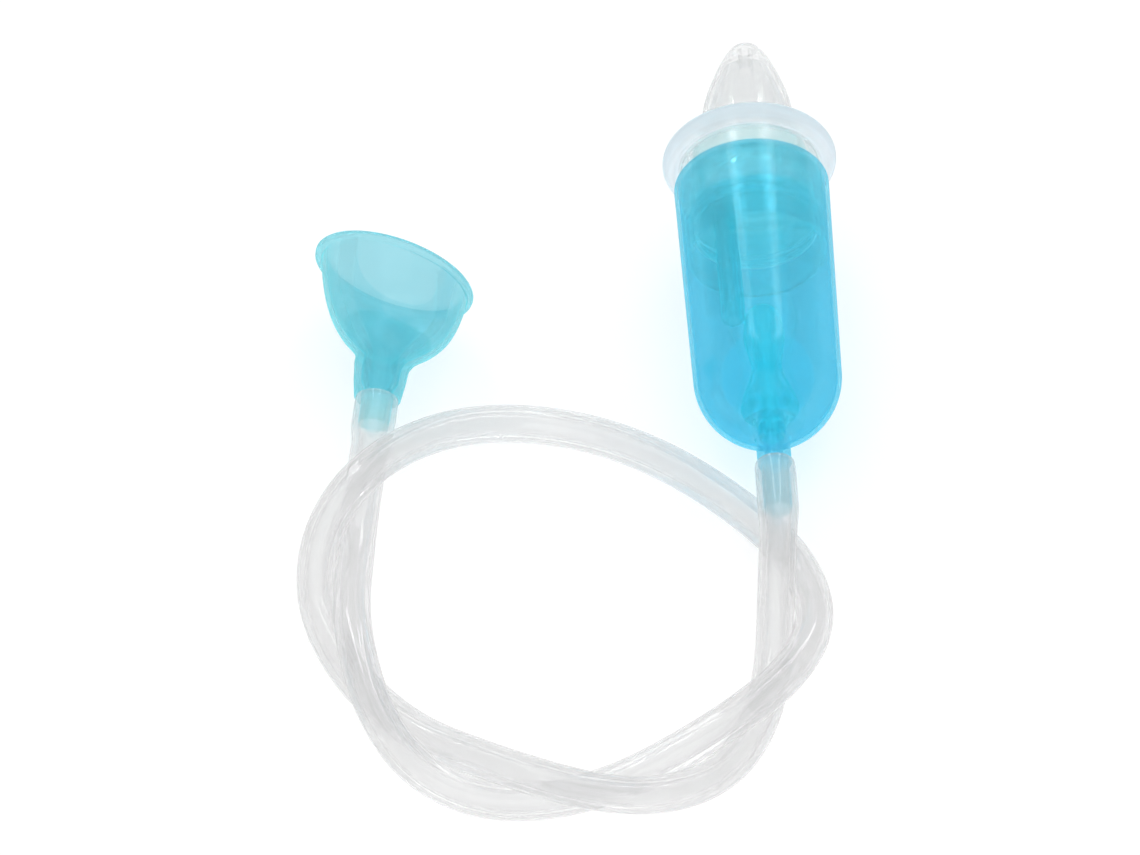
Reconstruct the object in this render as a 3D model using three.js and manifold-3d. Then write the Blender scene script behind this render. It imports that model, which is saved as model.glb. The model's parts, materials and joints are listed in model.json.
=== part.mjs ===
// Nasal aspirator with a mouth-driven hose: a collecting cup with a stopper lid and a soft nose tip,
// a clear hose laid in two turns, and an angled mouthpiece. Millimetres, +Z up. It lies on a table:
// the bottle points along +Y and leans on the guard of its nose tip, the hose is coiled in front.
import * as THREE from 'three';
import { mergeVertices } from 'three/addons/utils/BufferGeometryUtils.js';
import Module from 'manifold-3d';

const wasm = await Module();
wasm.setup();

// ---- Fits and resolution
const GAP = 0.3;              // clearance left between pieces that touch
const AROUND = 40;            // facets around a turned piece
const ARC_STEPS = 6;          // facets along a rounded corner

// ---- Where the bottle and the mouthpiece lie
const BOTTLE_AT = new THREE.Vector3(37.3, 24.87, 18.06);    // middle of the cup's rim
const BOTTLE_LEAN = Math.asin(0.0466);                     // the guard is wider than the cup
const MOUTH_AT = new THREE.Vector3(-44.7, -24.0, 11.6);    // middle of the hose end on the mouthpiece
const MOUTH_AXIS = new THREE.Vector3(0.1793, 0.9669, 0.1786).normalize();
const MOUTH_LEAN_TO = new THREE.Vector3(0.894, -0.231, 0.384).normalize();
const MOUTH_LEAN = THREE.MathUtils.degToRad(12);           // the lip plane against the neck

// ---- Collecting cup; heights are measured along the bottle, 0 at the rim, nose end positive
const CUP_RIM_R = 16.4;
const CUP_FOOT_R = 15.66;
const CUP_WALL = 0.9;
const CUP_STRAIGHT = 51.6;    // rim to the middle of the round bottom
const NECK_R = 3.6;
const NECK_END = -75.0;       // the shoulder that the hose stops against
const SPIGOT_R = 2.9;
const SPIGOT_END = -87.3;
const SPIGOT_BORE_R = 1.9;
const FLOOR_R = 6.2;          // flat floor at the bottom of the cup
const FLOOR_AT = -CUP_STRAIGHT - Math.sqrt((CUP_FOOT_R - CUP_WALL) ** 2 - FLOOR_R ** 2);
const SOCKET_R = 2.9;         // takes the foot of the standpipe
const SOCKET_END = FLOOR_AT - 3.0;

// ---- Standpipe in the cup
const PIPE_R = 4.0;
const PIPE_BORE_R = 1.6;
const PIPE_TOP = -32.8;
const PIPE_WAIST_R = 3.05;
const PIPE_WAIST = -49.2;
const PIPE_BELL_R = 6.2;
const PIPE_BELL = -60.0;
const PIPE_STEM_R = 3.4;
const PIPE_BOTTOM = FLOOR_AT + GAP;

// ---- Lid, a stopper with a collar for the nose tip
const COLLAR_R = 12.0;
const COLLAR_BORE_R = 10.8;
const COLLAR_TOP = 8.1;
const LID_PLATE = 1.3;
const SKIRT_R = CUP_RIM_R - CUP_WALL - GAP;
const SKIRT_FOOT_R = 14.9;
const SKIRT_BORE_R = 13.0;
const SKIRT_SEAT_R = 13.8;
const SKIRT_END = -18.0;

// ---- Inlet insert, a disc with an offset dip pipe, pushed into the lid's skirt
const DISC_R = SKIRT_SEAT_R - GAP;
const DISC_TOP = -8.0;
const DISC_END = -11.4;
const DIP_R = 2.5;
const DIP_BORE_R = 1.6;
const DIP_END = -38.4;
const DIP_X = -6.3;
const DIP_UP = 3.0;

// ---- Nose tip, one soft piece with its guard
const TIP_END = 37.5;
const TIP_BORE_R = 1.5;
const CAVITY_END = 31.5;
const CAVITY_END_R = 4.9;
const GUARD_MID = 7.1;
const GUARD_BEAD_R = 2.3;
const GUARD_R = 18.4;
const SLEEVE_R = 14.95;
const SLEEVE_END = 0.4;
const TIP_LEAN = 0.034;       // sideways shift for each millimetre above the guard
const TIP_LEAN_START = 8.5;

// ---- Mouthpiece; heights are measured along its neck from the hose end, lips positive
const LIP_R = 17.5;
const LIP_AT = 31.3;
const LIP_START = LIP_AT - 1.8;
const BOWL_START = 8.0;
const BELLY = 0.9;              // the bowl's middle stands this far towards the leaning side
const MOUTH_SPIGOT_R = 3.25;
const MOUTH_SPIGOT_END = -6.7;
const MOUTH_BORE_R = 2.2;

// ---- Hose
const HOSE_R = 4.0;
const HOSE_BORE_R = 2.5;
const HOSE_SIDES = 10;
const HOSE_STEPS = 68;
const CUP_SLEEVE_R = 4.3;     // the hose end is stretched over the cup's spigot
const CUP_SLEEVE_LENGTH = 12.6;
const MOUTH_SLEEVE_R = 4.6;
const MOUTH_SLEEVE_LENGTH = 7.0;
const SLEEVE_RUNOUT = 0.8;

// The hose's route between its two straight ends, from the mouthpiece to the cup.
const HOSE_ROUTE = [
  [-47.2, -36.7, 8.5],
  [-50.0, -51.2, 5.0],
  [-51.9, -66.1, 6.5],
  [-53.4, -80.8, 10.5],
  [-53.0, -95.7, 12.7],
  [-50.0, -110.5, 11.1],
  [-42.6, -123.2, 7.4],
  [-29.8, -130.3, 4.5],
  [-14.7, -131.4, 4.3],
  [0.2, -128.6, 6.2],
  [14.0, -123.4, 9.9],
  [26.8, -116.0, 12.5],
  [37.1, -104.9, 11.7],
  [42.8, -91.2, 8.5],
  [43.0, -76.5, 5.2],
  [37.4, -62.5, 4.1],
  [27.8, -50.7, 4.2],
  [16.8, -40.2, 4.2],
  [4.1, -32.0, 4.2],
  [-10.4, -28.1, 5.4],
  [-25.0, -30.4, 9.0],
  [-37.6, -37.7, 13.2],
  [-49.2, -47.3, 14.4],
  [-58.0, -59.0, 10.6],
  [-60.6, -72.9, 5.5],
  [-57.1, -87.6, 4.1],
  [-50.1, -101.0, 4.1],
  [-40.8, -112.8, 5.8],
  [-30.5, -123.1, 10.2],
  [-18.2, -131.7, 12.7],
  [-3.9, -136.0, 11.1],
  [10.7, -134.0, 7.8],
  [22.5, -125.3, 4.8],
  [30.1, -112.2, 4.1],
  [33.9, -97.5, 5.0],
  [35.4, -82.7, 8.3],
  [36.9, -68.2, 12.5],
];

const bottleAxis = new THREE.Vector3(0, Math.cos(BOTTLE_LEAN), Math.sin(BOTTLE_LEAN));

// ---------------------------------------------------------------- helpers

function finish(name, geometry, color, roughness, extra = {}) {
  const material = new THREE.MeshStandardMaterial({ color, roughness, metalness: 0, ...extra });
  const mesh = new THREE.Mesh(geometry, material);
  mesh.name = name;
  return mesh;
}

// Points on an arc of a profile, from one angle to another in degrees.
function arc(middleR, middleY, radius, from, to, steps = ARC_STEPS) {
  const points = [];
  for (let i = 0; i <= steps; i++) {
    const a = THREE.MathUtils.degToRad(from + ((to - from) * i) / steps);
    points.push([middleR + radius * Math.cos(a), middleY + radius * Math.sin(a)]);
  }
  return points;
}

// A closed outline of [radius, height] points, turned about the Y axis.
function turned(outline, around = AROUND) {
  const loop = outline.map(([r, y]) => new THREE.Vector2(r, y));
  if (THREE.ShapeUtils.isClockWise(loop)) loop.reverse();
  loop.push(loop[0].clone());
  return new THREE.LatheGeometry(loop, around);
}

function toSolid(geometry) {
  const bare = geometry.clone();
  bare.deleteAttribute('normal');
  bare.deleteAttribute('uv');
  const merged = mergeVertices(bare, 1e-4);
  const solid = new wasm.Manifold(
    new wasm.Mesh({
      numProp: 3,
      vertProperties: new Float32Array(merged.attributes.position.array),
      triVerts: new Uint32Array(merged.index.array),
    })
  );
  return solid;
}

function fromSolid(solid) {
  const mesh = solid.getMesh();
  const geometry = new THREE.BufferGeometry();
  geometry.setAttribute('position', new THREE.BufferAttribute(new Float32Array(mesh.vertProperties), 3));
  geometry.setIndex(new THREE.BufferAttribute(new Uint32Array(mesh.triVerts), 1));
  geometry.computeVertexNormals();
  return geometry;
}

// A cylinder from one point to another, for a boolean.
function rod(from, to, radius, sides = 24) {
  const along = new THREE.Vector3().subVectors(to, from);
  const geometry = new THREE.CylinderGeometry(radius, radius, along.length(), sides);
  const turn = new THREE.Quaternion();
  turn.setFromUnitVectors(new THREE.Vector3(0, 1, 0), along.clone().normalize());
  geometry.applyQuaternion(turn);
  const middle = new THREE.Vector3().addVectors(from, to).multiplyScalar(0.5);
  geometry.translate(middle.x, middle.y, middle.z);
  return toSolid(geometry);
}

// ---------------------------------------------------------------- bottle pieces

function collectorCup() {
  const innerFootR = CUP_FOOT_R - CUP_WALL;
  const fillet = 2.4;
  const meets = Math.acos((NECK_R + fillet) / (CUP_FOOT_R + fillet));
  const meetsDeg = THREE.MathUtils.radToDeg(meets);
  const filletY = -CUP_STRAIGHT - (CUP_FOOT_R + fillet) * Math.sin(meets);
  const floorDeg = THREE.MathUtils.radToDeg(Math.acos(FLOOR_R / innerFootR));
  return turned([
    [CUP_RIM_R - CUP_WALL, 0],
    [CUP_RIM_R - 0.25, 0],
    [CUP_RIM_R, -0.25],
    ...arc(0, -CUP_STRAIGHT, CUP_FOOT_R, 0, -meetsDeg, 14),
    ...arc(NECK_R + fillet, filletY, fillet, 180 - meetsDeg, 180, 4),
    [NECK_R, NECK_END],
    [SPIGOT_R, NECK_END],
    [SPIGOT_R, SPIGOT_END + 0.6],
    [SPIGOT_R - 0.5, SPIGOT_END],
    [SPIGOT_BORE_R, SPIGOT_END],
    [SPIGOT_BORE_R, SOCKET_END],
    [SOCKET_R, SOCKET_END],
    [SOCKET_R, FLOOR_AT],
    ...arc(0, -CUP_STRAIGHT, innerFootR, -floorDeg, 0, 10),
  ]);
}

// Waisted like an hourglass, it flares to a bell above a short stem that stands in the cup's floor.
function standpipe() {
  const domeY = PIPE_TOP - PIPE_R;
  const lipDeg = THREE.MathUtils.radToDeg(Math.acos(PIPE_BORE_R / PIPE_R));
  const tenonR = SOCKET_R - GAP;
  const tenonEnd = SOCKET_END + GAP;
  return turned([
    ...arc(0, domeY, PIPE_R, lipDeg, 0),
    [PIPE_R + 0.3, domeY - 3.5],
    [PIPE_R + 0.2, domeY - 5.5],
    [PIPE_R - 0.3, PIPE_WAIST + 4],
    [PIPE_WAIST_R, PIPE_WAIST],
    [4.1, PIPE_WAIST - 4],
    [5.5, PIPE_WAIST - 8],
    [PIPE_BELL_R, PIPE_BELL],
    [PIPE_BELL_R - 0.3, PIPE_BELL - 0.9],
    [PIPE_STEM_R + 0.4, PIPE_BELL - 2.2],
    [PIPE_STEM_R, PIPE_BELL - 3.2],
    [PIPE_STEM_R, PIPE_BOTTOM],
    [tenonR, PIPE_BOTTOM],
    [tenonR, tenonEnd],
    [PIPE_BORE_R, tenonEnd],
  ], 28);
}

function lidShell() {
  return turned([
    [COLLAR_BORE_R, COLLAR_TOP],
    [COLLAR_R - 0.3, COLLAR_TOP],
    [COLLAR_R, COLLAR_TOP - 0.3],
    [COLLAR_R, 0],
    [SKIRT_R, 0],
    [SKIRT_FOOT_R, SKIRT_END],
    [SKIRT_SEAT_R, SKIRT_END],
    [SKIRT_SEAT_R, DISC_TOP + GAP],
    [SKIRT_BORE_R, DISC_TOP + GAP],
    [SKIRT_BORE_R, -LID_PLATE],
    [COLLAR_BORE_R, -LID_PLATE],
  ]);
}

// The disc keeps a groove around its edge, so that it grips the skirt on two ribs.
function inletInsert() {
  const disc = toSolid(turned([
    [0, DISC_TOP],
    [DISC_R, DISC_TOP],
    [DISC_R, DISC_TOP - 0.9],
    [DISC_R - 0.7, DISC_TOP - 1.2],
    [DISC_R - 0.7, DISC_END + 1.2],
    [DISC_R, DISC_END + 0.9],
    [DISC_R, DISC_END],
    [0, DISC_END],
  ]));
  const top = new THREE.Vector3(DIP_X, DISC_TOP - 1, DIP_UP);
  const end = new THREE.Vector3(DIP_X, DIP_END, DIP_UP);
  const above = top.clone().setY(DISC_TOP + 1);
  const below = end.clone().setY(DIP_END - 1);
  const solid = disc.add(rod(top, end, DIP_R)).subtract(rod(above, below, DIP_BORE_R));
  return fromSolid(solid);
}

// The soft cone stands a little askew on its guard.
function leanTip(geometry) {
  const position = geometry.attributes.position;
  for (let i = 0; i < position.count; i++) {
    const above = Math.max(0, position.getY(i) - TIP_LEAN_START);
    position.setX(i, position.getX(i) + TIP_LEAN * above);
  }
  return geometry;
}

function noseTip() {
  const beadMid = GUARD_R - GUARD_BEAD_R;
  const ledge = COLLAR_TOP + GAP;
  return leanTip(turned([
    [TIP_BORE_R, TIP_END],
    [2.5, TIP_END],
    [3.2, TIP_END - 0.5],
    [4.3, 35.3],
    [5.15, 33.7],
    [6.1, 31.5],
    [6.95, 29.3],
    [7.85, 26.8],
    [8.65, 24.3],
    [9.35, 21.3],
    [9.9, 17.6],
    [10.35, 13.6],
    [10.7, 10.6],
    [11.8, 9.3],
    ...arc(beadMid, GUARD_MID, GUARD_BEAD_R, 90, -90, 8),
    [SLEEVE_R, GUARD_MID - GUARD_BEAD_R + 0.5],
    [SLEEVE_R, SLEEVE_END],
    [COLLAR_R + GAP, SLEEVE_END],
    [COLLAR_R + GAP, ledge],
    [9.6, ledge],
    [9.3, 13.0],
    [8.3, 19.5],
    [6.9, 25.5],
    [CAVITY_END_R, CAVITY_END],
    [TIP_BORE_R, CAVITY_END],
  ]));
}

// ---------------------------------------------------------------- mouthpiece

// Leans every cross-section of the bowl a little more towards the lips, so that the lip plane is
// turned against the neck and the bowl is fuller on that side.
function leanBowl(geometry, toward) {
  const hinge = new THREE.Vector3().crossVectors(new THREE.Vector3(0, 1, 0), toward).normalize();
  const position = geometry.attributes.position;
  const pivot = new THREE.Vector3();
  const point = new THREE.Vector3();
  for (let i = 0; i < position.count; i++) {
    point.fromBufferAttribute(position, i);
    pivot.y = point.y > LIP_START - 0.1 ? LIP_AT : point.y;
    const share = THREE.MathUtils.smoothstep(point.y, BOWL_START, LIP_START);
    point.sub(pivot).applyAxisAngle(hinge, MOUTH_LEAN * share).add(pivot);
    const along = THREE.MathUtils.clamp((point.y - BOWL_START) / (LIP_START - BOWL_START), 0, 1);
    point.addScaledVector(toward, BELLY * Math.sin(Math.PI * Math.sqrt(along)) ** 2);
    position.setXYZ(i, point.x, point.y, point.z);
  }
  return geometry;
}

function mouthpiece() {
  const bead = 0.95;
  const outside = [
    [MOUTH_BORE_R, MOUTH_SPIGOT_END],
    [MOUTH_SPIGOT_R - 0.5, MOUTH_SPIGOT_END],
    [MOUTH_SPIGOT_R, MOUTH_SPIGOT_END + 0.6],
    [MOUTH_SPIGOT_R, 0],
    [4.95, 0],
    [5.5, 4.0],
    [5.9, 8.0],
    [6.6, 10.2],
    [8.2, 12.2],
    [10.6, 14.6],
    [12.7, 17.6],
    [14.3, 21.3],
    [15.4, 25.2],
    [16.0, 28.2],
    [16.2, LIP_START],
  ];
  const lip = [
    [LIP_R - 0.3, LIP_START + 0.1],
    [LIP_R, LIP_AT - bead],
    [LIP_R - 0.3, LIP_AT - 0.2],
    [LIP_R - 0.6, LIP_AT],
    [15.6, LIP_AT],
    [15.2, LIP_AT - 0.4],
  ];
  const inside = [
    [14.9, 28.2],
    [14.3, 25.2],
    [13.2, 21.6],
    [11.6, 18.3],
    [9.6, 15.6],
    [7.2, 13.2],
    [5.2, 11.2],
    [4.3, 9.0],
    [3.9, 4.0],
    [MOUTH_BORE_R, 0.5],
  ];
  const turn = new THREE.Quaternion().setFromUnitVectors(new THREE.Vector3(0, 1, 0), MOUTH_AXIS);
  const toward = MOUTH_LEAN_TO.clone().applyQuaternion(turn.clone().invert()).setY(0).normalize();
  return leanBowl(turned([...outside, ...lip, ...inside]), toward);
}

// ---------------------------------------------------------------- hose

function hosePath() {
  const route = HOSE_ROUTE.map((p) => new THREE.Vector3(...p));
  const fromMouth = [1.5, MOUTH_SLEEVE_LENGTH + 2].map(
    (d) => MOUTH_AT.clone().addScaledVector(MOUTH_AXIS, -d),
  );
  const toCup = [CUP_SLEEVE_LENGTH + 2, 1.5].map((d) =>
    BOTTLE_AT.clone().addScaledVector(bottleAxis, NECK_END - d)
  );
  return new THREE.CatmullRomCurve3([...fromMouth, ...route, ...toCup], false, 'centripetal');
}

function circle(radius, sides) {
  const points = [];
  for (let i = 0; i < sides; i++) {
    const a = (2 * Math.PI * i) / sides;
    points.push(new THREE.Vector2(radius * Math.cos(a), radius * Math.sin(a)));
  }
  return points;
}

// The stretched end of the hose, a ring that runs a little past the spigot inside it.
function sleeve(at, direction, radius, length) {
  const ring = rodAlong(at, direction, GAP, length + SLEEVE_RUNOUT, radius);
  return ring.subtract(rodAlong(at, direction, -1, length + SLEEVE_RUNOUT + 1, HOSE_BORE_R - 0.25));
}

function rodAlong(at, direction, from, to, radius) {
  const start = at.clone().addScaledVector(direction, from);
  const end = at.clone().addScaledVector(direction, to);
  return rod(start, end, radius, 16);
}

function hose() {
  const section = new THREE.Shape(circle(HOSE_R, HOSE_SIDES));
  section.holes.push(new THREE.Path(circle(HOSE_BORE_R, HOSE_SIDES).reverse()));
  const tube = new THREE.ExtrudeGeometry(section, {
    steps: HOSE_STEPS,
    extrudePath: hosePath(),
    curveSegments: 1,
    bevelEnabled: false,
  });
  const mouthBack = MOUTH_AXIS.clone().negate();
  const cupEnd = BOTTLE_AT.clone().addScaledVector(bottleAxis, NECK_END);
  const cupBack = bottleAxis.clone().negate();
  const solid = toSolid(tube)
    .add(sleeve(MOUTH_AT, mouthBack, MOUTH_SLEEVE_R, MOUTH_SLEEVE_LENGTH))
    .add(sleeve(cupEnd, cupBack, CUP_SLEEVE_R, CUP_SLEEVE_LENGTH))
    .subtract(rodAlong(MOUTH_AT, mouthBack, -1, MOUTH_SLEEVE_LENGTH, MOUTH_SPIGOT_R + GAP))
    .subtract(rodAlong(cupEnd, cupBack, -1, CUP_SLEEVE_LENGTH, SPIGOT_R + GAP));
  return fromSolid(solid);
}

// ---------------------------------------------------------------- assembly

const aspirator = new THREE.Group();

const bottle = new THREE.Group();
bottle.position.copy(BOTTLE_AT);
bottle.rotation.x = BOTTLE_LEAN;
bottle.add(
  finish('collector_cup', collectorCup(), '#54bfea', 0.25, { transparent: true, opacity: 0.6 }),
  finish('outlet_standpipe', standpipe(), '#3fb9ec', 0.3, { transparent: true, opacity: 0.8 }),
  finish('lid_stopper', lidShell(), '#45bdf0', 0.3, { transparent: true, opacity: 0.8 }),
  finish('inlet_insert', inletInsert(), '#45bdf0', 0.3, { transparent: true, opacity: 0.8 }),
  finish('nose_tip', noseTip(), '#dcdfe2', 0.45, { transparent: true, opacity: 0.7 })
);
aspirator.add(bottle);

const mouth = new THREE.Group();
mouth.position.copy(MOUTH_AT);
mouth.quaternion.setFromUnitVectors(new THREE.Vector3(0, 1, 0), MOUTH_AXIS);
mouth.add(finish('mouthpiece', mouthpiece(), '#6cc8ec', 0.3, { transparent: true, opacity: 0.7 }));
aspirator.add(mouth);

aspirator.add(finish('hose', hose(), '#e4e5e6', 0.35, { transparent: true, opacity: 0.6 }));

export default aspirator;
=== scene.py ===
# %% [markdown]
# # A nasal aspirator, laid out on a table
# The mechanical model comes in first and stays fixed. Everything that shows is then built
# around it as finer geometry, piece by piece, and given its plastic or silicone.

# %% The fixed frame
import bpy
import json
import math
import numpy as np
from mathutils import Matrix, Vector


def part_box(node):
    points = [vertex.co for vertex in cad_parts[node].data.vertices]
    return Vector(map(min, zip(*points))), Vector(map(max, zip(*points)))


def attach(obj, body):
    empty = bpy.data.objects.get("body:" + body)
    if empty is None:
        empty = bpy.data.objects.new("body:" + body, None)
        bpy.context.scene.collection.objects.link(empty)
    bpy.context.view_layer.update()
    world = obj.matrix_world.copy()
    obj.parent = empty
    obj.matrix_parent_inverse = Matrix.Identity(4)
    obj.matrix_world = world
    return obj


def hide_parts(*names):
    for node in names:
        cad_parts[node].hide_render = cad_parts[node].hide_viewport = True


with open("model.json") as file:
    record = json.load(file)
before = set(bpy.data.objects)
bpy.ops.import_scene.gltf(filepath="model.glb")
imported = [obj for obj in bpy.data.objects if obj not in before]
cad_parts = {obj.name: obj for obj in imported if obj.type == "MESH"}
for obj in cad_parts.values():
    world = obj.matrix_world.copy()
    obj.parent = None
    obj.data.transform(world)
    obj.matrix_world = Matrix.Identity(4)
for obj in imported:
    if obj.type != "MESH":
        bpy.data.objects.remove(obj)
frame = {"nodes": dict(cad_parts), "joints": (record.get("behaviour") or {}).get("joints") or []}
bpy.context.view_layer.update()
joints = {j["name"]: j for j in frame["joints"]}
MM = 0.001
print("frame:", sorted(frame["nodes"]))

# %% [markdown]
# The bottle lies along one line and the mouthpiece along another. Both lines can be read off
# the frame: the lid pulls off along the bottle, and the mouthpiece turns about its neck.

# %% Two local frames
def place(origin, axis):
    """The matrix that stands a piece turned about Z on origin, with its Z along axis."""
    turn = Vector((0, 0, 1)).rotation_difference(Vector(axis))
    return Matrix.Translation(origin) @ turn.to_matrix().to_4x4()


bottle_axis = Vector(joints["lid_pull"]["axis"]).normalized()
low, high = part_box("collector_cup")
CUP_R = 16.4
bottle_at = Vector((
    (low.x + high.x) / 2,
    high.y - (CUP_R - 0.25) * MM * bottle_axis.z,
    high.z - CUP_R * MM * bottle_axis.y,
))
mouth_at = Vector(joints["mouthpiece_turn"]["pos_m"])
mouth_axis = Vector(joints["mouthpiece_turn"]["axis"]).normalized()
side = Vector((1, 0, 0))
down = bottle_axis.cross(side)
bottle = Matrix.Translation(bottle_at) @ Matrix((side, down, bottle_axis)).transposed().to_4x4()
mouth = place(mouth_at, mouth_axis)
print("bottle at", [round(v / MM, 2) for v in bottle_at])

# %% [markdown]
# The camera stands in front and looks down at about half a right angle, from far away with a
# long lens, so that near and far pieces keep the same scale.

# %% Camera
HEADING, ELEVATION = math.radians(3.5), math.radians(48.5)
DISTANCE, LENS, SENSOR = 6.0, 900, 36
aim = Vector((-0.00414, -0.02443, 0))
view = Vector((
    math.sin(HEADING) * math.cos(ELEVATION),
    math.cos(HEADING) * math.cos(ELEVATION),
    -math.sin(ELEVATION),
))
camera = bpy.data.objects.new("camera", bpy.data.cameras.new("camera"))
bpy.context.scene.collection.objects.link(camera)
camera.data.lens, camera.data.sensor_width = LENS, SENSOR
camera.data.clip_end = 40
camera.location = aim - view * DISTANCE
camera.rotation_euler = view.to_track_quat("-Z", "Y").to_euler()
bpy.context.scene.camera = camera
bpy.context.scene.view_settings.view_transform = "Standard"
print("camera at", [round(v, 3) for v in camera.location])

# %% [markdown]
# The hose is soft tubing, 8 mm outside and 5 mm inside. It leaves both spigots straight, then
# lies on the table in two turns, and wherever it meets itself it climbs over in a low hump.

# %% The hose's centreline
ROUTE = [        # in metres, from the mouthpiece to the cup
    (-0.0472, -0.0367, 0.0085), (-0.0500, -0.0512, 0.0050), (-0.0519, -0.0661, 0.0065),
    (-0.0534, -0.0808, 0.0105), (-0.0530, -0.0957, 0.0127), (-0.0500, -0.1105, 0.0111),
    (-0.0426, -0.1232, 0.0074), (-0.0298, -0.1303, 0.0045), (-0.0147, -0.1314, 0.0043),
    (0.0002, -0.1286, 0.0062), (0.0140, -0.1234, 0.0099), (0.0268, -0.1160, 0.0125),
    (0.0371, -0.1049, 0.0117), (0.0428, -0.0912, 0.0085), (0.0430, -0.0765, 0.0052),
    (0.0374, -0.0625, 0.0041), (0.0278, -0.0507, 0.0042), (0.0168, -0.0402, 0.0042),
    (0.0041, -0.0320, 0.0042), (-0.0104, -0.0281, 0.0054), (-0.0250, -0.0304, 0.0090),
    (-0.0376, -0.0377, 0.0132), (-0.0492, -0.0473, 0.0144), (-0.0580, -0.0590, 0.0106),
    (-0.0606, -0.0729, 0.0055), (-0.0571, -0.0876, 0.0041), (-0.0501, -0.1010, 0.0041),
    (-0.0408, -0.1128, 0.0058), (-0.0305, -0.1231, 0.0102), (-0.0182, -0.1317, 0.0127),
    (-0.0039, -0.1360, 0.0111), (0.0107, -0.1340, 0.0078), (0.0225, -0.1253, 0.0048),
    (0.0301, -0.1122, 0.0041), (0.0339, -0.0975, 0.0050), (0.0354, -0.0827, 0.0083),
    (0.0369, -0.0682, 0.0125),
]
HOSE_R, BORE_R = 4.0, 2.5
SHOULDER = -75.0            # where the cup's neck stops the hose
GAP = 0.3
CUP_GRIP, MOUTH_GRIP = 12.4, 6.8
RING_SPACING, SMOOTHING = 1.25, 30


def spline(points, spacing, smooth):
    """Points every spacing millimetres on a smooth curve through points, with a softened bend."""
    p = np.array(points, float)
    p = np.vstack([2 * p[0] - p[1], p, 2 * p[-1] - p[-2]])
    fine = []
    for i in range(1, len(p) - 2):
        a, b, c, d = p[i - 1:i + 3]
        t = np.linspace(0, 1, 40, endpoint=False)[:, None]
        fine.append(0.5 * (2 * b + (c - a) * t + (2 * a - 5 * b + 4 * c - d) * t ** 2
                           + (3 * b - 3 * c + d - a) * t ** 3))
    fine = np.vstack(fine + [p[-2:-1]])
    run = np.r_[0, np.cumsum(np.linalg.norm(np.diff(fine, axis=0), axis=1))]
    at = np.linspace(0, run[-1], round(run[-1] / spacing) + 1)
    line = np.column_stack([np.interp(at, run, fine[:, k]) for k in range(3)])
    for _ in range(smooth):
        line[3:-3] = 0.25 * line[2:-4] + 0.5 * line[3:-3] + 0.25 * line[4:-2]
    return line


def along(origin, axis, *distances):
    """Points on an axis, in millimetres."""
    return [tuple(np.array(origin) / MM + np.array(axis) * d) for d in distances]


line = spline(
    along(mouth_at, mouth_axis, -GAP, -4, -9)
    + [tuple(v / MM for v in point) for point in ROUTE]
    + along(bottle_at, bottle_axis, SHOULDER - 14.5, SHOULDER - 7, SHOULDER - GAP),
    spacing=RING_SPACING, smooth=SMOOTHING,
)
run = np.r_[0, np.cumsum(np.linalg.norm(np.diff(line, axis=0), axis=1))]
print(f"hose: {run[-1]:.1f} mm, {len(line)} rings, lowest centre {line[:, 2].min():.2f}")

# %% [markdown]
# Every piece here is either turned about an axis or swept along a line, so two small mesh
# builders are enough. The outline of a turned piece gets its edges rounded first, because an
# edge that catches no light looks like paper.

# %% Mesh builders
def mesh_object(name, verts, faces, smooth_angle=40):
    """A piece from vertices in metres and faces, with soft shading between gentle angles."""
    mesh = bpy.data.meshes.new(name)
    mesh.from_pydata([tuple(v) for v in verts], [], [tuple(int(i) for i in f) for f in faces])
    mesh.validate()
    mesh.polygons.foreach_set("use_smooth", np.ones(len(mesh.polygons), bool))
    mesh.set_sharp_from_angle(angle=math.radians(smooth_angle))
    piece = bpy.data.objects.new(name, mesh)
    bpy.context.scene.collection.objects.link(piece)
    return piece


def grid_faces(rows, columns, close_rows, close_columns):
    """Quads over a grid of rows by columns, wrapped round where it closes."""
    faces = []
    for i in range(rows if close_rows else rows - 1):
        for j in range(columns if close_columns else columns - 1):
            a, b = i * columns + j, i * columns + (j + 1) % columns
            c = ((i + 1) % rows) * columns
            faces.append((a, b, c + (j + 1) % columns, c + j))
    return faces


def rounded(outline, radius=0.25, steps=4):
    """Rounds every corner of a closed outline that turns by more than 25 degrees."""
    outline = [p for i, p in enumerate(outline) if math.dist(p[:2], outline[i - 1][:2]) > 1e-6]
    pts = [np.array(p[:2], float) for p in outline]
    out = []
    for i, p in enumerate(pts):
        want = outline[i][2] if len(outline[i]) > 2 else radius
        back, ahead = pts[i - 1] - p, pts[(i + 1) % len(pts)] - p
        lb, la = np.linalg.norm(back), np.linalg.norm(ahead)
        turn = math.pi - math.acos(np.clip(back @ ahead / (lb * la), -1, 1))
        if turn < math.radians(25) or want == 0:
            out.append(p)
            continue
        cut = min(want * math.tan(turn / 2), 0.45 * lb, 0.45 * la)
        a, b = p + back / lb * cut, p + ahead / la * cut
        for k in range(steps + 1):
            t = k / steps
            out.append((1 - t) ** 2 * a + 2 * t * (1 - t) * p + t ** 2 * b)
    return np.array(out)


def curve(*points, spacing=0.6):
    """A smooth stretch of outline through (radius, height) points."""
    p = np.array([(r, h, 0) for r, h in points], float)
    return [tuple(q[:2]) for q in spline(p, spacing, 0)]


def arc(middle_r, middle_h, radius, start, end, steps=16):
    """A round stretch of outline, with the angles in degrees."""
    t = np.radians(np.linspace(start, end, steps + 1))
    return [(middle_r + radius * math.cos(a), middle_h + radius * math.sin(a)) for a in t]


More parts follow.
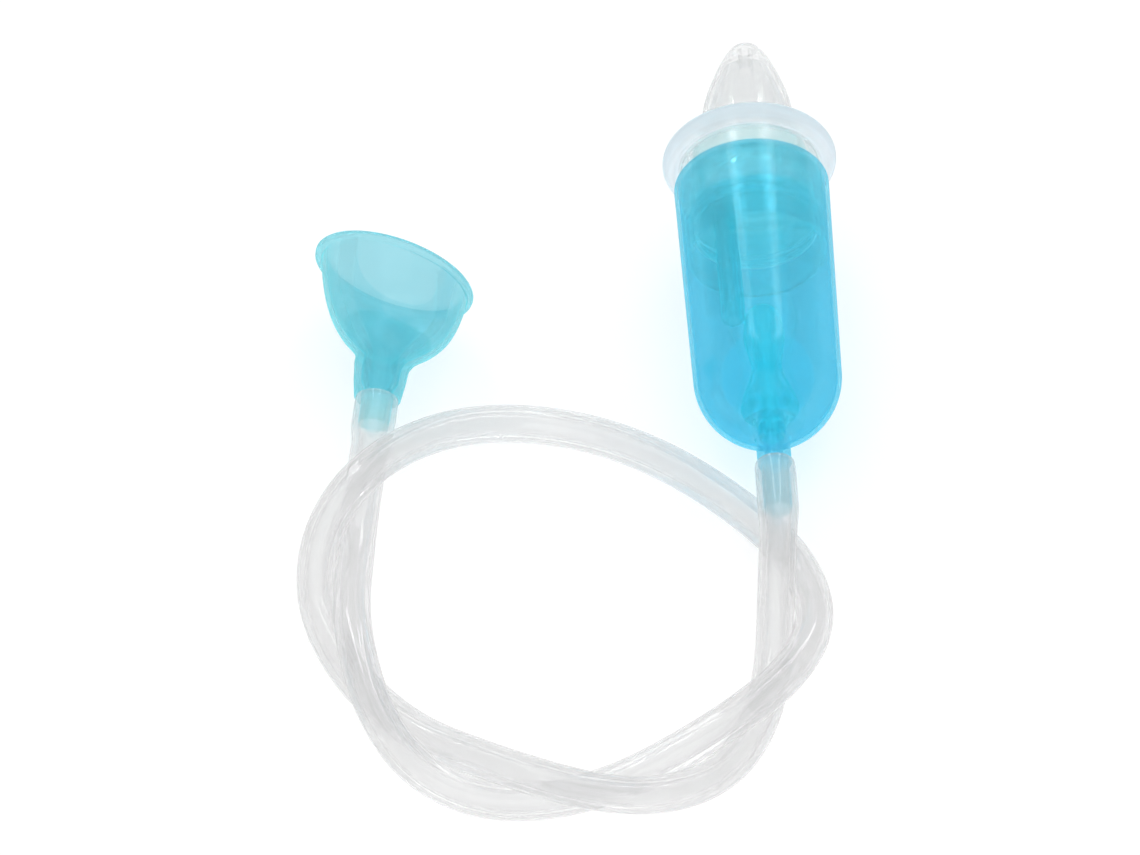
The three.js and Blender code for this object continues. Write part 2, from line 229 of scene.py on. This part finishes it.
def turned(name, outline, matrix, around=144, shape=None, radius=0.25):
    """A closed outline of (radius, height) in millimetres, turned about Z and placed."""
    profile = rounded(outline, radius)
    area = np.sum(profile[:, 0] * np.roll(profile[:, 1], -1) - np.roll(profile[:, 0], -1) * profile[:, 1])
    if area < 0:
        profile = profile[::-1]
    angle = 2 * math.pi * np.arange(around) / around
    r, h = profile[:, 0][:, None], profile[:, 1][:, None]
    verts = np.stack([r * np.cos(angle), r * np.sin(angle), h + 0 * angle], axis=-1).reshape(-1, 3)
    if shape:
        verts = shape(verts)
    m = np.array(matrix)
    verts = verts * MM @ m[:3, :3].T + m[:3, 3]
    faces = grid_faces(len(profile), around, True, True)
    return mesh_object(name, verts, faces)


def swept(name, line, outer, inner, around=48):
    """A tube along line in millimetres, with an outer and an inner radius at each point."""
    tangent = np.gradient(line, axis=0)
    tangent /= np.linalg.norm(tangent, axis=1)[:, None]
    normal = np.cross(tangent[0], (0, 0, 1.0))
    frames = []
    for t in tangent:
        normal = normal - t * (normal @ t)
        normal /= np.linalg.norm(normal)
        frames.append((normal, np.cross(t, normal)))
    u, v = (np.array([f[k] for f in frames])[:, None, :] for k in range(2))
    angle = 2 * math.pi * np.arange(around) / around
    spoke = u * np.cos(angle)[:, None] + v * np.sin(angle)[:, None]
    skin = line[:, None, :] + spoke * outer[:, None, None]
    bore = line[:, None, :] + spoke * inner[:, None, None]
    loop = np.concatenate([skin, bore[::-1]]).reshape(-1, 3) * MM
    faces = grid_faces(2 * len(line), around, True, True)
    return mesh_object(name, loop, faces, smooth_angle=35)


print("builders ready")

# %% [markdown]
# The tube is stretched where a spigot is pushed into it, so both radii grow over each grip and
# run back to the plain tube just past the spigot's end.

# %% The hose
MOUTH_SWELL, CUP_SWELL = 0.6, 0.32          # how much the outside grows over each spigot
MOUTH_STRETCH, CUP_STRETCH = 0.72, 0.37     # and the bore
END_ROUNDING = 0.12


def step(x, start, end):
    t = np.clip((x - start) / (end - start), 0, 1)
    return t * t * (3 - 2 * t)


from_mouth, from_cup = run, run[-1] - run
outer = (HOSE_R + MOUTH_SWELL * (1 - step(from_mouth, 6.4, 12))
         + CUP_SWELL * (1 - step(from_cup, 12.2, 17)))
inner = (BORE_R + MOUTH_STRETCH * (1 - step(from_mouth, MOUTH_GRIP, 10))
         + CUP_STRETCH * (1 - step(from_cup, CUP_GRIP, 15.5)))
outer[[0, -1]] -= END_ROUNDING
hose = swept("hose_tube", line, outer, inner)
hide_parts("hose")
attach(hose, "cup")
print("hose faces:", len(hose.data.polygons))

# %% [markdown]
# The collecting cup is a thin round-bottomed shell with a neck and a spigot below. Its floor is
# flat and thick in the middle, where the standpipe stands.

# %% Cup
WALL, FOOT_R, STRAIGHT = 0.9, 15.66, 51.6
NECK_R, SPIGOT_R, SPIGOT_END, SPIGOT_BORE = 3.6, 2.9, -87.3, 1.9
FLOOR_R, SOCKET_R = 6.2, 2.9
FLOOR = -STRAIGHT - math.sqrt((FOOT_R - WALL) ** 2 - FLOOR_R ** 2)
FILLET = 2.4
meets = math.degrees(math.acos((NECK_R + FILLET) / (FOOT_R + FILLET)))
fillet_h = -STRAIGHT - (FOOT_R + FILLET) * math.sin(math.radians(meets))
floor_deg = math.degrees(math.acos(FLOOR_R / (FOOT_R - WALL)))
cup = turned("cup_shell", [
    (CUP_R - WALL, 0), (CUP_R, 0),
    *arc(0, -STRAIGHT, FOOT_R, 0, -meets, 40),
    *arc(NECK_R + FILLET, fillet_h, FILLET, 180 - meets, 180, 10),
    (NECK_R, SHOULDER), (SPIGOT_R, SHOULDER),
    (SPIGOT_R, SPIGOT_END, 0.5), (SPIGOT_BORE, SPIGOT_END),
    (SPIGOT_BORE, FLOOR - 3), (SOCKET_R, FLOOR - 3), (SOCKET_R, FLOOR, 0.4),
    *arc(0, -STRAIGHT, FOOT_R - WALL, -floor_deg, 0, 36),
], bottle)
print("cup faces:", len(cup.data.polygons))

# %% [markdown]
# Air leaves through the standpipe, high above the fluid. It is waisted like an hourglass and
# flares to a bell above its stem.

# %% Standpipe
PIPE_R, PIPE_TOP, PIPE_BORE, WAIST, BELL = 4.0, -32.8, 1.6, -49.2, -60.0
dome = PIPE_TOP - PIPE_R
lip = math.degrees(math.acos(PIPE_BORE / PIPE_R))
pipe = turned("standpipe", [
    *arc(0, dome, PIPE_R, lip, 4, 14),
    *curve((PIPE_R, dome - 0.3), (PIPE_R + 0.3, dome - 3.5), (PIPE_R + 0.2, dome - 5.5),
           (PIPE_R - 0.3, WAIST + 4), (3.05, WAIST + 0.1)),
    *curve((3.1, WAIST - 0.2), (4.1, WAIST - 4), (5.5, WAIST - 8), (6.2, BELL)),
    (5.9, BELL - 0.9, 0.6), *curve((5.6, BELL - 1.2), (3.8, BELL - 2.2), (3.4, BELL - 3.2)),
    (3.4, FLOOR + GAP), (SOCKET_R - GAP, FLOOR + GAP),
    (SOCKET_R - GAP, FLOOR - 3 + GAP), (PIPE_BORE, FLOOR - 3 + GAP),
], bottle, around=96)
print("standpipe faces:", len(pipe.data.polygons))

# %% [markdown]
# The stopper closes the cup: a collar above for the nose tip, a plate flush with the rim, and a
# skirt inside the cup. The insert, a disc pressed into the skirt with a dip pipe, is drawn as two
# shells that cross, so its disc has no hole here where the real one has the pipe's bore.

# %% Lid and insert
COLLAR_R, COLLAR_TOP = 12.0, 8.1
lid = turned("lid_stopper_shell", [
    (10.8, COLLAR_TOP), (COLLAR_R, COLLAR_TOP), (COLLAR_R, 0, 0.1), (15.2, 0),
    (14.9, -18.0), (13.8, -18.0), (13.8, -7.7, 0.1), (13.0, -7.7, 0.1), (13.0, -1.3), (10.8, -1.3),
], bottle)
DISC_TOP, DISC_END = -8.0, -11.4
disc = turned("insert_disc", [
    (0.01, DISC_TOP, 0), (13.5, DISC_TOP), (13.5, DISC_TOP - 0.9), (12.8, DISC_TOP - 1.2),
    (12.8, DISC_END + 1.2), (13.5, DISC_END + 0.9), (13.5, DISC_END), (0.01, DISC_END, 0),
], bottle)
DIP_R, DIP_BORE, DIP_END = 2.5, 1.6, -38.4
dip_place = bottle @ Matrix.Translation((-6.3 * MM, -3.0 * MM, 0))
dip = turned("insert_dip_pipe", [
    (DIP_BORE, DISC_TOP), (DIP_R, DISC_TOP), *arc(DIP_R - 0.8, DIP_END + 0.8, 0.8, 0, -80, 8),
    (DIP_BORE, DIP_END),
], dip_place, around=72)
print("insert faces:", len(disc.data.polygons) + len(dip.data.polygons))

# %% [markdown]
# The nose tip is one soft moulding: a hollow cone with a thick end, a fat round guard and a
# sleeve that grips the collar. Soft things never stand quite straight, so the cone leans a bit.

# %% Nose tip
TIP_END, TIP_HOLE, CAVITY_END = 37.5, 1.5, 31.5
GUARD_R, BEAD_R, GUARD_AT, SLEEVE_R, SLEEVE_END = 18.4, 2.3, 7.1, 14.95, 0.4


def lean_tip(verts):
    verts[:, 0] += 0.034 * np.maximum(0, verts[:, 2] - 8.5)
    return verts


tip = turned("nose_tip_soft", [
    (TIP_HOLE, TIP_END, 0.3), (2.5, TIP_END, 0.4),
    *curve((3.2, TIP_END - 0.45), (4.3, 35.3), (5.15, 33.7), (6.1, 31.5), (6.95, 29.3), (7.85, 26.8),
           (8.65, 24.3), (9.35, 21.3), (9.9, 17.6), (10.35, 13.6), (10.7, 10.9), (11.4, 9.6)),
    *arc(GUARD_R - BEAD_R, GUARD_AT, BEAD_R, 92, -90, 28),
    (SLEEVE_R, GUARD_AT - BEAD_R + 0.4, 0.3), (SLEEVE_R, SLEEVE_END), (COLLAR_R + GAP, SLEEVE_END),
    (COLLAR_R + GAP, COLLAR_TOP + GAP), (9.7, COLLAR_TOP + GAP, 0.6),
    *curve((9.4, 11.5), (9.0, 15.0), (8.3, 19.5), (6.9, 25.5), (4.95, CAVITY_END - 0.1)),
    (TIP_HOLE, CAVITY_END, 0.4),
], bottle, shape=lean_tip)
print("tip faces:", len(tip.data.polygons))

# %% [markdown]
# The mouthpiece is a funnel whose lips are turned a little against the neck. It is turned
# straight first, and then each cross-section is leaned more than the one below it.

# %% Mouthpiece
LIP_R, LIP_AT, BOWL_START = 17.5, 31.3, 8.0
LIP_START = LIP_AT - 1.8
LEAN, BELLY = math.radians(12), 0.9
to_local = mouth.to_3x3().inverted()
lean_to = to_local @ Vector((0.894, -0.231, 0.384)).normalized()
lean_to.z = 0
lean_to.normalize()
hinge = np.array(Vector((0, 0, 1)).cross(lean_to))


def lean_bowl(verts):
    toward = np.array(lean_to)
    h = verts[:, 2].copy()
    share = np.clip((h - BOWL_START) / (LIP_START - BOWL_START), 0, 1)
    angle = LEAN * share * share * (3 - 2 * share)
    pivot = np.where(h > LIP_START - 0.1, LIP_AT, h)
    arm = verts - np.column_stack([0 * h, 0 * h, pivot])
    cos, sin = np.cos(angle)[:, None], np.sin(angle)[:, None]
    turned_arm = arm * cos + np.cross(hinge, arm) * sin + hinge * (arm @ hinge)[:, None] * (1 - cos)
    verts = turned_arm + np.column_stack([0 * h, 0 * h, pivot])
    return verts + toward * (BELLY * np.sin(math.pi * np.sqrt(share)) ** 2)[:, None]


funnel = turned("mouthpiece_funnel", [
    (2.2, -6.7), (3.25, -6.7, 0.5), (3.25, 0, 0.05), (4.95, 0),
    *curve((5.5, 4.0), (5.9, 8.0), (6.6, 10.2), (8.2, 12.2), (10.6, 14.6), (12.7, 17.6), (14.3, 21.3),
           (15.4, 25.2), (16.0, 28.2), (16.2, LIP_START)),
    (LIP_R - 0.2, LIP_START + 0.1, 0.5), (LIP_R, LIP_AT - 0.6, 0.6), (LIP_R - 0.6, LIP_AT, 0.5),
    (15.6, LIP_AT, 0.3), (15.2, LIP_AT - 0.4, 0.3),
    *curve((14.9, 28.2), (14.3, 25.2), (13.2, 21.6), (11.6, 18.3), (9.6, 15.6), (7.2, 13.2), (5.2, 11.2),
           (4.3, 9.0), (3.9, 4.0)),
    (2.2, 0.5, 0.5),
], mouth, around=160, shape=lean_bowl)
print("mouthpiece faces:", len(funnel.data.polygons))

# %% [markdown]
# Materials are built with a small helper: a socket that takes part in arithmetic. Adding or
# multiplying sockets then reads like the formula it stands for.

# %% Shader helper
class Value:
    """An output socket. Arithmetic on it adds a Math node."""

    def __init__(self, graph, socket):
        self.graph, self.socket = graph, socket

    def math(self, operation, *others, flipped=False):
        terms = [*others, self] if flipped else [self, *others]
        return self.graph.add("ShaderNodeMath", {"operation": operation}, dict(enumerate(terms)))

    def __add__(self, other): return self.math("ADD", other)
    def __radd__(self, other): return self.math("ADD", other, flipped=True)
    def __sub__(self, other): return self.math("SUBTRACT", other)
    def __rsub__(self, other): return self.math("SUBTRACT", other, flipped=True)
    def __mul__(self, other): return self.math("MULTIPLY", other)
    def __rmul__(self, other): return self.math("MULTIPLY", other, flipped=True)
    def __truediv__(self, other): return self.math("DIVIDE", other)
    def __rtruediv__(self, other): return self.math("DIVIDE", other, flipped=True)
    def __pow__(self, other): return self.math("POWER", other)
    def __rpow__(self, other): return self.math("POWER", other, flipped=True)

    def ramp(self, low, high, to_low=0.0, to_high=1.0):
        """self from low..high to to_low..to_high, held at both ends."""
        return self.graph.add(
            "ShaderNodeMapRange", {}, {0: self, 1: low, 2: high, 3: to_low, 4: to_high})


class Graph:
    """A material's nodes."""

    def __init__(self, name):
        self.material = bpy.data.materials.new(name)
        self.material.use_nodes = True
        self.nodes, self.links = self.material.node_tree.nodes, self.material.node_tree.links
        self.nodes.clear()

    def add(self, kind, settings, sockets, output=0):
        """Any node: its settings first, then its sockets, each a value or a link."""
        node = self.nodes.new(kind)
        for key, value in settings.items():
            setattr(node, key, value)
        for key, value in sockets.items():
            if isinstance(value, Value):
                self.links.new(value.socket, node.inputs[key])
            else:
                node.inputs[key].default_value = value
        return Value(self, node.outputs[output])

    def mix(self, factor, a, b):
        """A colour between a and b."""
        return self.add(
            "ShaderNodeMix", {"data_type": "RGBA"}, {"Factor": factor, "A": a, "B": b}, "Result")

    def noise(self, where, scale, detail=2.0, roughness=0.5):
        return self.add("ShaderNodeTexNoise", {}, {
            "Vector": where, "Scale": scale, "Detail": detail, "Roughness": roughness})

    def finish(self, shader):
        """Sends a shader to the surface and gives back the material."""
        node = self.nodes.new("ShaderNodeOutputMaterial")
        self.links.new(shader.socket, node.inputs["Surface"])
        return self.material


print("helper ready")

# %% [markdown]
# All the plastics here are clear or tinted, and a little milky. Part of the light is bent as in
# glass, part passes straight on as through a thin wall, and part is scattered by a soft body.
# Lamps shine through too. Faint flow marks and scuffs vary the roughness and the surface.

# %% Materials
def object_space(g):
    return g.add("ShaderNodeTexCoord", {}, {}, "Object")


WAVE_STRENGTH, WAVE_DEPTH = 0.02, 0.0006      # how far flow marks stand out
SCUFF_ROUGHNESS = 0.12
SKIN_SHARE, CLOUD_AND_HIGHLIGHT_SHARE = 0.3, 0.5


def root(colour):
    """The tint of one surface, when two of them make up a wall."""
    return (*(c ** 0.5 for c in colour), 1)


def clear_plastic(name, tint, body, milk, ior, rough, edge=0.6, coat=0.0, straight=0.6,
                  cloud_and_highlight=None, cloud_and_highlight_body=None, thin=None, thin_tint=None):
    """A tinted glass mixed with a milky body.

    milk is the share that scatters, and edge adds to it where the wall is seen edge-on and so is
    thicker. straight is the share of the glass that doesn't bend light, as in a thin wall.
    cloud_and_highlight is where the piece is milkier, with its own colour: real frosting on the guard,
    and a painted highlight on the insert's edge rings. thin is where its tint is lighter.
    """
    g = Graph(name)
    where = object_space(g)
    flow_marks = g.noise(where, 60.0, 3.0)
    fine = g.noise(where, 900.0, 2.0)
    patches = g.noise(where, 45.0, 4.0, 0.6)
    scuffs = g.noise(where, 700.0, 1.0).ramp(0.62, 0.75)
    roughness = patches.ramp(0.3, 0.7, rough * 0.7, rough * 1.5) + scuffs * SCUFF_ROUGHNESS
    height = flow_marks * 0.7 + fine * 0.12 + scuffs * 0.2
    bump = g.add("ShaderNodeBump", {}, {
        "Strength": WAVE_STRENGTH, "Distance": WAVE_DEPTH, "Height": height})
    pale = tuple(min(1, c * 1.04) for c in tint)
    colour = g.mix(patches.ramp(0.3, 0.7), (*tint, 1), (*pale, 1))
    through = root(tint)
    if thin:
        where_thin = thin(g, where)
        colour = g.mix(where_thin, colour, (*thin_tint, 1))
        through = g.mix(where_thin, through, root(thin_tint))
    glass = g.add("ShaderNodeBsdfPrincipled", {}, {
        "Base Color": colour, "Roughness": roughness, "Normal": bump,
        "IOR": ior, "Transmission Weight": 1.0, "Coat Weight": coat})
    inside = g.mix(flow_marks.ramp(0.35, 0.65), (*body, 1), (*(c * 0.96 for c in body), 1))
    facing = g.add("ShaderNodeLayerWeight", {}, {"Blend": 0.5}, "Facing")
    share = patches.ramp(0.2, 0.8, milk * 0.85, milk * 1.15) + edge * facing ** 4.0
    # This mask makes a piece milkier: real frosting on the guard, and a painted highlight on the insert's
    # edge rings.
    if cloud_and_highlight:
        cloud_and_highlight_mask = cloud_and_highlight(g, where)
        inside = g.mix(cloud_and_highlight_mask, inside, (*cloud_and_highlight_body, 1))
        share = share + CLOUD_AND_HIGHLIGHT_SHARE * cloud_and_highlight_mask
    scatter = g.add("ShaderNodeBsdfTranslucent", {}, {"Color": inside, "Normal": bump})
    skin = g.add("ShaderNodeBsdfPrincipled", {}, {
        "Base Color": inside, "Roughness": roughness, "Normal": bump, "IOR": ior})
    soft = g.add("ShaderNodeMixShader", {}, {0: SKIN_SHARE, 1: scatter, 2: skin})
    let_through = g.add("ShaderNodeBsdfTransparent", {}, {"Color": through})
    clear = g.add("ShaderNodeMixShader", {}, {0: straight, 1: glass, 2: let_through})
    both = g.add("ShaderNodeMixShader", {}, {0: share, 1: clear, 2: soft})
    lamp_ray = g.add("ShaderNodeLightPath", {}, {}, "Is Shadow Ray")
    return g.finish(g.add("ShaderNodeMixShader", {}, {0: lamp_ray, 1: both, 2: let_through}))


def about(g, where, origin, axis):
    """How far along an axis and how far out from it a point lies."""
    arm = g.add("ShaderNodeVectorMath", {"operation": "SUBTRACT"}, {0: where, 1: origin})
    height = g.add("ShaderNodeVectorMath", {"operation": "DOT_PRODUCT"}, {0: arm, 1: axis}, "Value")
    across = g.add("ShaderNodeVectorMath", {"operation": "CROSS_PRODUCT"}, {0: arm, 1: axis})
    radius = g.add("ShaderNodeVectorMath", {"operation": "LENGTH"}, {0: across}, "Value")
    return height, radius


def guard_cloud(g, where):
    """The fat guard scatters more than the thin cone and sleeve do."""
    height, radius = about(g, where, bottle_at, bottle_axis)
    return height.ramp(3.6 * MM, 5.4 * MM) * radius.ramp(12.5 * MM, 15.5 * MM)


def rim_painted_highlight(g, where):
    """A painted highlight: the insert's two edge rings are made milky white, as if they catch the light.
    """
    return about(g, where, bottle_at, bottle_axis)[1].ramp(12.85 * MM, 13.1 * MM)


def cup_spigot(g, where):
    return about(g, where, bottle_at, bottle_axis)[0].ramp(-75.6 * MM, -75.0 * MM, 1.0, 0.0)


def mouth_spigot(g, where):
    return about(g, where, mouth_at, mouth_axis)[0].ramp(-0.4 * MM, 0.0, 1.0, 0.0)


cup_blue = clear_plastic(
    "cup_blue", (0.36, 0.80, 0.93), (0.10, 0.80, 1.0), 0.07, 1.49, 0.08, straight=0.78,
    thin=cup_spigot, thin_tint=(0.82, 0.97, 1.0))
lid_blue = clear_plastic(
    "lid_blue", (0.86, 1.0, 1.0), (0.22, 1.0, 1.0), 0.07, 1.49, 0.08, straight=0.62)
# The insert's edge rings carry a painted highlight: they are made milky white.
insert_blue = clear_plastic(
    "insert_blue", (0.84, 1.0, 1.0), (0.10, 1.0, 1.0), 0.14, 1.46, 0.06, straight=0.7,
    cloud_and_highlight=rim_painted_highlight, cloud_and_highlight_body=(1.0, 1.0, 1.0))
pipe_blue = clear_plastic(
    "pipe_blue", (0.72, 1.0, 1.0), (0.08, 1.0, 1.0), 0.20, 1.49, 0.02, coat=1.0, straight=0.4)
mouth_blue = clear_plastic(
    "mouth_blue", (0.46, 0.70, 0.78), (0.17, 0.95, 1.0), 0.17, 1.49, 0.10,
    thin=mouth_spigot, thin_tint=(0.85, 0.97, 1.0))
silicone = clear_plastic(
    "clear_silicone", (0.95, 0.95, 0.95), (0.84, 0.845, 0.85), 0.14, 1.41, 0.10, straight=0.7,
    cloud_and_highlight=guard_cloud, cloud_and_highlight_body=(0.86, 0.91, 0.96))
tubing = clear_plastic(
    "clear_tubing", (0.93, 0.93, 0.93), (0.86, 0.86, 0.865), 0.16, 1.41, 0.05, edge=0.5, coat=0.8,
    straight=0.6)

for piece, node, body, slot, material in [
    (cup, "collector_cup", "cup", "cup_blue", cup_blue),
    (pipe, "outlet_standpipe", "cup", "insert_blue", pipe_blue),
    (lid, "lid_stopper", "lid", "lid_blue", lid_blue),
    (disc, "inlet_insert", "lid", "insert_blue", insert_blue),
    (dip, "inlet_insert", "lid", "insert_blue", insert_blue),
    (tip, "nose_tip", "tip", "silicone_clear", silicone),
    (funnel, "mouthpiece", "mouthpiece", "mouth_blue", mouth_blue),
]:
    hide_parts(node)
    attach(piece, body)
    piece.data.materials.append(material)
hose.data.materials.append(tubing)
print("materials:", len(bpy.data.materials))

# %% [markdown]
# The table is a plain pale sheet that glows a little, like a light table, so that the clear
# pieces are lit from below as well. Its own colour is a mid-grey, and the glow makes it white.

# %% Table
SIZE, CELLS = 3.0, 24
grid = np.linspace(-SIZE, SIZE, CELLS)
sheet = np.array([(x, y, -0.0002) for x in grid for y in grid])
table = mesh_object("table_top", sheet, grid_faces(CELLS, CELLS, False, False))
g = Graph("pale_table")
paper = g.noise(object_space(g), 30.0, 3.0)
tone = g.mix(paper, (0.33, 0.33, 0.33, 1), (0.35, 0.35, 0.35, 1))
GLOW = 0.64
matt = g.add("ShaderNodeBsdfPrincipled", {}, {
    "Base Color": tone, "Roughness": 0.6, "Emission Color": (1, 1, 1, 1), "Emission Strength": GLOW})
table.data.materials.append(g.finish(matt))

# %% [markdown]
# Two long soft lights stand beyond the object, one on each side, and draw the paired lines that
# run down every round piece. A broad soft sky fills the rest.

# %% Lights
def lamp(name, at, to, size, power, colour=(1, 1, 1)):
    data = bpy.data.lights.new(name, "AREA")
    data.shape, (data.size, data.size_y) = "RECTANGLE", size
    data.energy, data.color = power, colour
    thing = bpy.data.objects.new(name, data)
    bpy.context.scene.collection.objects.link(thing)
    thing.location = at
    thing.rotation_euler = (Vector(to) - Vector(at)).to_track_quat("-Z", "Y").to_euler()
    return thing


for name, x in (("strip_left", -0.36), ("strip_right", 0.43)):
    lamp(name, (x, 0.75, 0.85), (0.02, 0, 0), (0.14, 0.9), 1.7)
lamp("front_fill", (0, -1.1, 0.9), (0, 0, 0), (1.4, 1.0), 5)
lamp("top_fill", (0, 0.1, 1.7), (0, 0, 0), (1.6, 1.2), 5)

world = bpy.data.worlds.new("studio")
bpy.context.scene.world = world
world.use_nodes = True
world.node_tree.nodes["Background"].inputs["Color"].default_value = (1, 1, 1, 1)
world.node_tree.nodes["Background"].inputs["Strength"].default_value = 0.7
print("lights:", len(bpy.data.lights))

# %% [markdown]
# At the end the scene is brought up to date.


bpy.context.view_layer.update()
